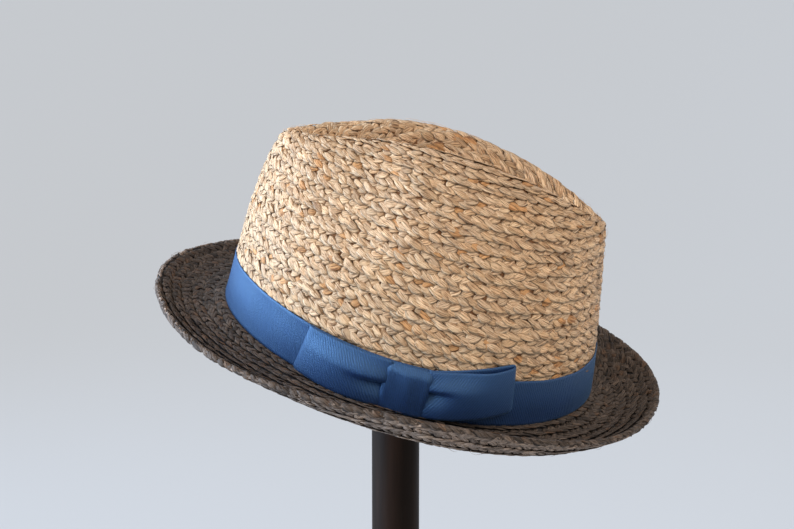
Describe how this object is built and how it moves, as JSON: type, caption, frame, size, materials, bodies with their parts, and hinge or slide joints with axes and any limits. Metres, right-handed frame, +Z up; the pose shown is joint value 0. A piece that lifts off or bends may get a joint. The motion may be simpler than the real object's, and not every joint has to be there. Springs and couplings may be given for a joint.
{
  "type": "straw fedora on a stand",
  "caption": "Straw fedora with a creased and pinched crown, short turned-up brim and ribbon band with a flat bow, tilted on a plain round stand.",
  "frame": {"origin": "on the floor under the middle of the stand's base", "axes": "+Z up along the pole, -Y towards the front of the hat, +X towards the wearer's left, where the bow is"},
  "size_m": [0.224, 0.2638, 0.3732],
  "materials": {
    "natural_raffia": "braided raffia straw, matt",
    "taupe_raffia": "braided dyed raffia straw, matt",
    "blue_ribbon": "fine twill ribbon, soft sheen",
    "dark_wood": "dark stained, satin"
  },
  "bodies": {
    "root": {"crown": "natural_raffia", "brim": "taupe_raffia", "hatband": "blue_ribbon", "bow_front_loop": "blue_ribbon", "bow_back_loop": "blue_ribbon", "bow_knot": "blue_ribbon", "stand_base": "dark_wood", "stand_pole": "dark_wood", "stand_cap": "dark_wood"}
  },
  "joints": []
}
